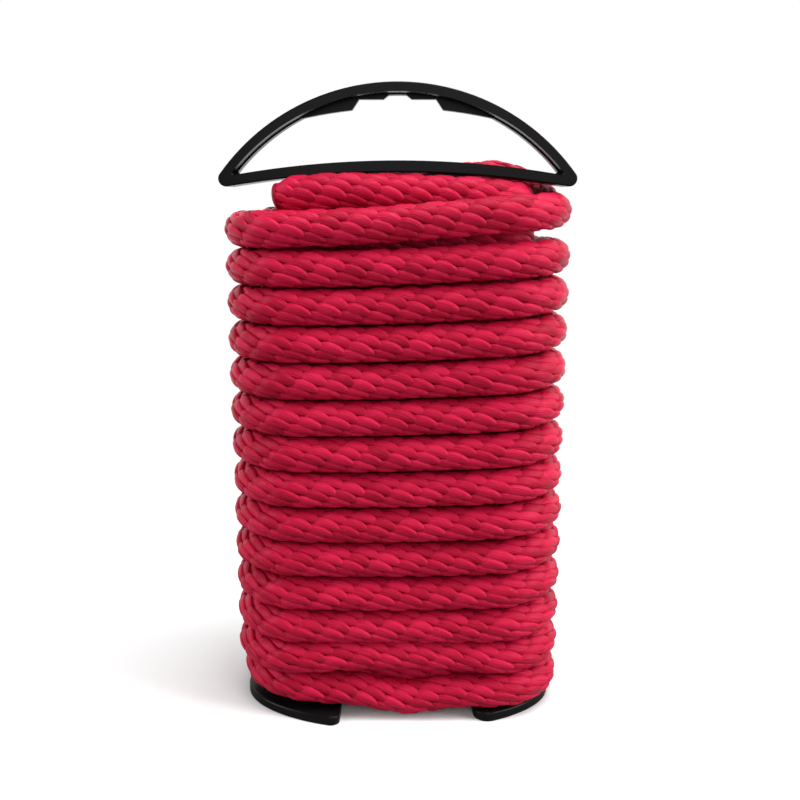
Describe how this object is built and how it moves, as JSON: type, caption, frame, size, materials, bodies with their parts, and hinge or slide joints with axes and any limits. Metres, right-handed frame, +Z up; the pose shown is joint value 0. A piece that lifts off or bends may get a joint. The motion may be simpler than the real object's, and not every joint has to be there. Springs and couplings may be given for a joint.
{
  "type": "coiled dock line",
  "caption": "Red solid-braid dock line laid in two layers on a black moulded winder, with a crescent carrying handle, a hanging notch and an oval base flange.",
  "frame": {"origin": "centre of the base flange, on its underside", "axes": "+Z up through the hand hoop; X along the wide side of the coil; the front, with the line's starting end, faces -Y"},
  "size_m": [0.1204, 0.058, 0.22],
  "materials": {
    "line": "solid braid of satin filament yarn, crimson",
    "winder": "black injection moulding, fine satin grain",
    "melted_end": "heat-sealed yarn, dark red and glossy"
  },
  "bodies": {
    "coil": {"handle": "winder", "spine_plate": "winder", "base_flange": "winder", "start_seal": "melted_end", "first_turn": "line", "second_turn": "line", "inner_turn_01": "line", "inner_turn_02": "line", "inner_turn_03": "line", "inner_turn_04": "line", "inner_turn_05": "line", "inner_turn_06": "line", "inner_turn_07": "line", "inner_turn_08": "line", "inner_turn_09": "line", "inner_turn_10": "line", "inner_turn_11": "line", "inner_turn_12": "line", "outer_turn_01": "line", "outer_turn_02": "line", "outer_turn_03": "line", "outer_turn_04": "line", "outer_turn_05": "line", "outer_turn_06": "line", "outer_turn_07": "line", "outer_turn_08": "line", "outer_turn_09": "line", "outer_turn_10": "line", "outer_turn_11": "line", "outer_turn_12": "line", "outer_turn_13": "line", "outer_turn_14": "line", "rising_run": "line"},
    "loose_end": {"free_end": "line", "free_end_seal": "melted_end"}
  },
  "joints": [
    {"name": "loose_end_swing", "type": "hinge", "parent": "coil", "child": "loose_end", "pos_m": [0.02, 0.0205, 0.189], "axis": [0, 0, -1], "range_deg": [0, 70]}
  ]
}
